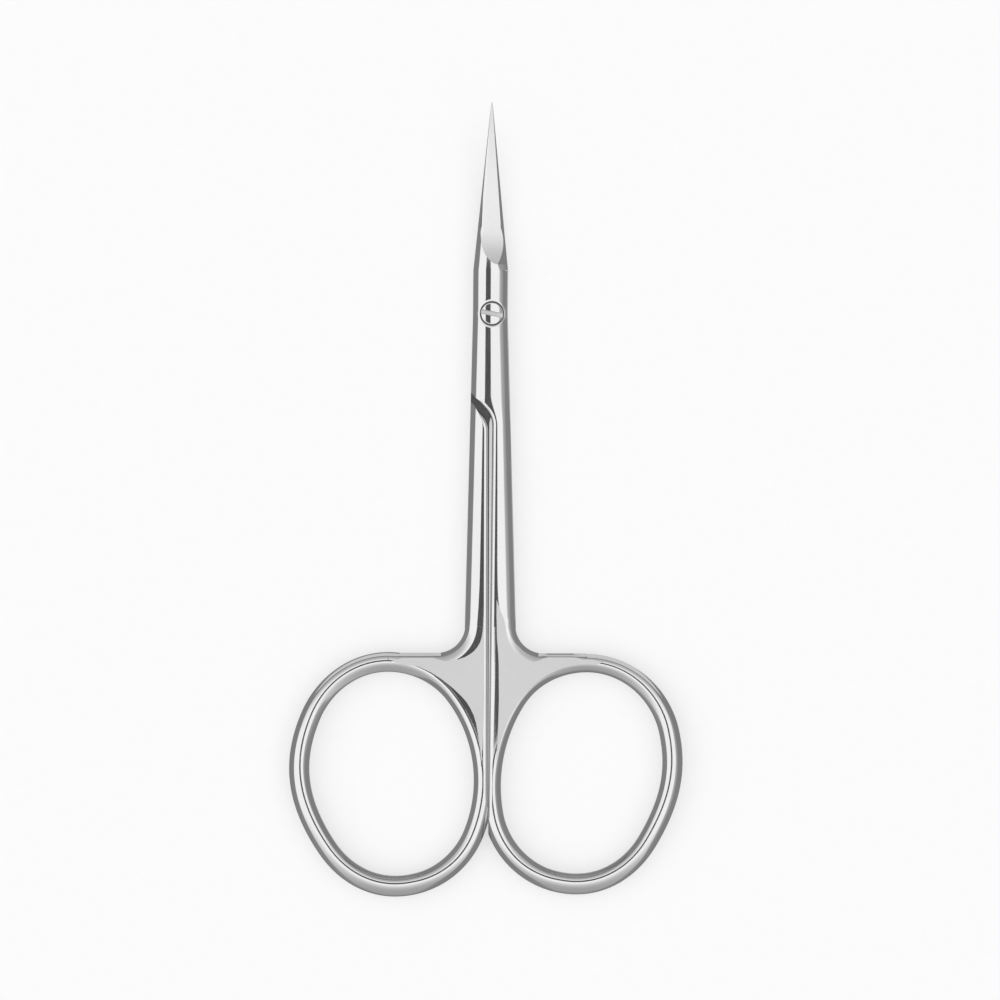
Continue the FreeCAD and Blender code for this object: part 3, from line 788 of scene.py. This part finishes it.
def pivot_drill(side):
    """Stepped drill with a wide rounded mouth for the front half, or the tapping drill for the back half."""
    bm = bmesh.new()
    if side == BACK:
        turned(bm, [(0, -FAR_Z), (TAPPED_RADIUS, -FAR_Z), (TAPPED_RADIUS, PAST), (0, PAST)], TAPPED_SIDES)
        return workpiece("drill", bm)
    steps = [(0, -PAST), (BORE_RADIUS, -PAST), (BORE_RADIUS, SEAT_HEIGHT), (SEAT_RADIUS, SEAT_HEIGHT)]
    mouth = HALF_THICKNESS - MOUTH_DEPTH - DISH_DEPTH
    steps += quarter_round(SEAT_RADIUS, mouth, MOUTH_WIDTH, MOUTH_DEPTH, MOUTH_STEPS)
    for part in range(1, DISH_STEPS + 1):
        fall = DISH_DEPTH * (1 - part / DISH_STEPS) ** 2
        steps.append((SEAT_RADIUS + MOUTH_WIDTH + DISH_WIDTH * part / DISH_STEPS, HALF_THICKNESS - fall))
    steps += [(SEAT_RADIUS + MOUTH_WIDTH + DISH_WIDTH, FAR_Z), (0, FAR_Z)]
    turned(bm, steps, SEAT_SIDES)
    for vert in bm.verts:
        if SEAT_HEIGHT < vert.co.z < FAR_Z:
            vert.co.z = max(vert.co.z - crown_drop(vert.co.x), MOUTH_LOWEST)
    return workpiece("drill", bm)


for side in (BACK, FRONT):
    half = closed_bar()
    half.name = HALF_NAMES[side] + "_steel"
    work(half, "UNION", web_plate(side))
    work(half, "UNION", finger_ring(side))
    work(half, "INTERSECT", kept_space(side))
    for tool in blade_stones(side) + seam_rounds(side) + panel_planers(side):
        work(half, "DIFFERENCE", tool)
    work(half, "DIFFERENCE", pivot_drill(side))
    half.data.transform(into_frame)
    half.data.polygons.foreach_set("use_smooth", [True] * len(half.data.polygons))
    half.data.set_sharp_from_angle(angle=math.radians(SHARP_ANGLE))
    bm = bmesh.new()
    bm.from_mesh(half.data)
    for edge in bm.edges:
        if len({face.material_index for face in edge.link_faces}) > 1:
            edge.smooth = False
    bm.to_mesh(half.data)
    bm.free()
    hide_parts(HALF_NAMES[side])
    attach(half, HALF_BODIES[side])

# Pivot screw: a turned stainless screw with a slotted head. Its head sits in the seat of the front half, its journal is
# the pin, its end is threaded into the back half, and both ends are ground flush with the crown of the bar.
HEAD_RADIUS = 1.34
HEAD_SINK = 0.05
RIM_WIDTH = 0.16
RIM_DEPTH = 0.12
JOURNAL_RADIUS = 0.85
THREAD_RADIUS = 0.75
SLOT_HALF_WIDTH = 0.28
SLOT_DEPTH = 0.62
SLOT_ANGLE = -11.0
SCREW_SIDES = 128
RIM_ROUND_STEPS = 8
HEAD_STEPS = 12

bm = bmesh.new()
head_top = HALF_THICKNESS - HEAD_SINK
steps = [(0, -FAR_Z), (THREAD_RADIUS, -FAR_Z), (THREAD_RADIUS, 0), (JOURNAL_RADIUS, 0), (JOURNAL_RADIUS, SEAT_HEIGHT)]
steps.append((HEAD_RADIUS, SEAT_HEIGHT))
steps += quarter_round(HEAD_RADIUS, head_top - RIM_DEPTH, -RIM_WIDTH, RIM_DEPTH, RIM_ROUND_STEPS)
steps += [(HEAD_RADIUS * part / HEAD_STEPS, head_top) for part in range(HEAD_STEPS - 2, -1, -1)]
turned(bm, steps, SCREW_SIDES)
for vert in bm.verts:
    if vert.co.z > SEAT_HEIGHT:
        vert.co.z -= crown_drop(vert.co.x)
screw = workpiece("pivot_screw_steel", bm)
work(screw, "INTERSECT", closed_bar())
bm = bmesh.new()
slot_size = Matrix.Diagonal((2 * FAR_Z, 2 * SLOT_HALF_WIDTH, 2 * FAR_Z, 1))
slot_place = Matrix.Translation((0, 0, HALF_THICKNESS - SLOT_DEPTH + FAR_Z))
bmesh.ops.create_cube(bm, size=1, matrix=Matrix.Rotation(math.radians(SLOT_ANGLE), 4, "Z") @ slot_place @ slot_size)
for face in bm.faces:
    face.material_index = SATIN
work(screw, "DIFFERENCE", workpiece("slot_saw", bm))
screw.data.transform(into_frame)
screw.data.polygons.foreach_set("use_smooth", [True] * len(screw.data.polygons))
screw.data.set_sharp_from_angle(angle=math.radians(SHARP_ANGLE))
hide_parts("pivot_screw")
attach(screw, "back")

# Floor, light and camera: a plain pale table under a soft light tent, seen from straight above.
# The tent is bright overhead, falls off towards both ends, the right side and its foot, and is dark at the lens.
FLOOR_REACH = 1.5
PAPER_GRAIN = 900.0
PAPER_DARK = (0.4, 0.4, 0.4, 1)
PAPER_LIGHT = (0.42, 0.42, 0.42, 1)
PAPER_ROUGHNESS = 0.9
PAPER_WHITE = 0.56

floor_bm = bmesh.new()
bmesh.ops.create_grid(floor_bm, x_segments=1, y_segments=1, size=FLOOR_REACH)
floor_mesh = bpy.data.meshes.new("floor")
floor_bm.to_mesh(floor_mesh)
floor_bm.free()
floor = bpy.data.objects.new("floor", floor_mesh)
bpy.context.scene.collection.objects.link(floor)
paper = bpy.data.materials.new("white_paper")
paper.use_nodes = True
paper_nodes = paper.node_tree.nodes
paper_links = paper.node_tree.links
paper_place = paper_nodes.new("ShaderNodeTexCoord")
paper_grain = paper_nodes.new("ShaderNodeTexNoise")
paper_grain.inputs["Scale"].default_value = PAPER_GRAIN
paper_shades = paper_nodes.new("ShaderNodeMix")
paper_shades.data_type = "RGBA"
paper_shades.inputs["A"].default_value = PAPER_DARK
paper_shades.inputs["B"].default_value = PAPER_LIGHT
paper_links.new(paper_place.outputs["Object"], paper_grain.inputs["Vector"])
paper_links.new(paper_grain.outputs["Fac"], paper_shades.inputs["Factor"])
paper_shader = paper_nodes["Principled BSDF"]
paper_shader.inputs["Roughness"].default_value = PAPER_ROUGHNESS
paper_shader.inputs["Specular IOR Level"].default_value = 0.0
paper_links.new(paper_shades.outputs["Result"], paper_shader.inputs["Base Color"])
paper_path = paper_nodes.new("ShaderNodeLightPath")
paper_seen = paper_nodes.new("ShaderNodeMath")
paper_seen.operation = "MAXIMUM"
paper_mirrored = paper_nodes.new("ShaderNodeMath")
paper_mirrored.operation = "MAXIMUM"
paper_level = paper_nodes.new("ShaderNodeMath")
paper_level.operation = "MULTIPLY"
paper_level.inputs[1].default_value = PAPER_WHITE
paper_links.new(paper_path.outputs["Is Glossy Ray"], paper_mirrored.inputs[0])
paper_links.new(paper_path.outputs["Is Transmission Ray"], paper_mirrored.inputs[1])
paper_links.new(paper_path.outputs["Is Camera Ray"], paper_seen.inputs[0])
paper_links.new(paper_mirrored.outputs["Value"], paper_seen.inputs[1])
paper_links.new(paper_seen.outputs["Value"], paper_level.inputs[0])
paper_shader.inputs["Emission Color"].default_value = (1, 1, 1, 1)
paper_links.new(paper_level.outputs["Value"], paper_shader.inputs["Emission Strength"])
floor_mesh.materials.append(paper)

world = bpy.data.worlds.new("light_tent")
bpy.context.scene.world = world
world.use_nodes = True
tent_nodes = world.node_tree.nodes
tent_links = world.node_tree.links
LENS_HOLE = 5.0
LENS_HOLE_EDGE = 7.0
LENS_HOLE_LEVEL = 0.08
TENT_BRIGHT = 1.48
TENT_ACROSS = ((-1.0, 1.0), (0.71, 1.0), (0.77, 0.52), (0.87, 0.4), (1.0, 0.28))
TENT_ALONG = (
    (-1.0, 0.35), (-0.766, 0.5), (-0.545, 0.68), (-0.3, 1.0), (0.15, 1.0), (0.5, 0.56), (0.8, 0.46), (1.0, 0.35),
)
TENT_UP = ((0.0, 0.22), (0.28, 0.25), (0.37, 1.0))


def tent_wall(stops):
    """Ramp of brightness for one part of the direction that the light comes from, between -1 and 1."""
    share = tent_nodes.new("ShaderNodeMapRange")
    share.inputs["From Min"].default_value = -1.0
    ramp = tent_nodes.new("ShaderNodeValToRGB")
    for number, (place, level) in enumerate(stops):
        if number < 2:
            stop = ramp.color_ramp.elements[number]
        else:
            stop = ramp.color_ramp.elements.new(1)
        stop.position = (1 + place) / 2
        stop.color = (level, level, level, 1)
    tent_links.new(share.outputs["Result"], ramp.inputs["Fac"])
    return share.inputs["Value"], ramp.outputs["Color"]


tent_direction = tent_nodes.new("ShaderNodeTexCoord")
across_place, across_level = tent_wall(TENT_ACROSS)
along_place, along_level = tent_wall(TENT_ALONG)
tent_wall_level = tent_nodes.new("ShaderNodeMath")
tent_wall_level.operation = "MULTIPLY"
tent_links.new(across_level, tent_wall_level.inputs[0])
tent_links.new(along_level, tent_wall_level.inputs[1])
up_place, up_level = tent_wall(TENT_UP)
tent_foot = tent_nodes.new("ShaderNodeMath")
tent_foot.operation = "MINIMUM"
tent_links.new(tent_wall_level.outputs["Value"], tent_foot.inputs[0])
tent_links.new(up_level, tent_foot.inputs[1])
lens_split = tent_nodes.new("ShaderNodeSeparateXYZ")
lens_angle = tent_nodes.new("ShaderNodeMath")
lens_angle.operation = "ARCCOSINE"
lens_hole = tent_nodes.new("ShaderNodeMapRange")
lens_hole.interpolation_type = "SMOOTHSTEP"
lens_hole.inputs["From Min"].default_value = math.radians(LENS_HOLE)
lens_hole.inputs["From Max"].default_value = math.radians(LENS_HOLE_EDGE)
lens_hole.inputs["To Min"].default_value = LENS_HOLE_LEVEL
lens_hole.inputs["To Max"].default_value = 1.0
tent_level = tent_nodes.new("ShaderNodeMath")
tent_level.operation = "MULTIPLY"
tent_strength = tent_nodes.new("ShaderNodeMath")
tent_strength.operation = "MULTIPLY"
tent_strength.inputs[1].default_value = TENT_BRIGHT
tent_links.new(tent_direction.outputs["Generated"], lens_split.inputs["Vector"])
tent_links.new(lens_split.outputs["X"], across_place)
tent_links.new(lens_split.outputs["Y"], along_place)
tent_links.new(lens_split.outputs["Z"], up_place)
tent_links.new(lens_split.outputs["Z"], lens_angle.inputs[0])
tent_links.new(lens_angle.outputs["Value"], lens_hole.inputs["Value"])
tent_links.new(tent_foot.outputs["Value"], tent_level.inputs[0])
tent_links.new(lens_hole.outputs["Result"], tent_level.inputs[1])
tent_links.new(tent_level.outputs["Value"], tent_strength.inputs[0])
tent_light = tent_nodes["Background"]
tent_light.inputs["Color"].default_value = (1, 1, 1, 1)
tent_links.new(tent_strength.outputs["Value"], tent_light.inputs["Strength"])

LENS = 300
SENSOR = 36
CAMERA_FROM_PIVOT = (0.00096, -0.02232, 0.9985)
camera_data = bpy.data.cameras.new("camera")
camera_data.lens = LENS
camera_data.sensor_width = SENSOR
camera = bpy.data.objects.new("camera", camera_data)
bpy.context.scene.collection.objects.link(camera)
camera.location = pivot + Vector(CAMERA_FROM_PIVOT)
bpy.context.scene.camera = camera
bpy.context.scene.view_settings.view_transform = "Standard"
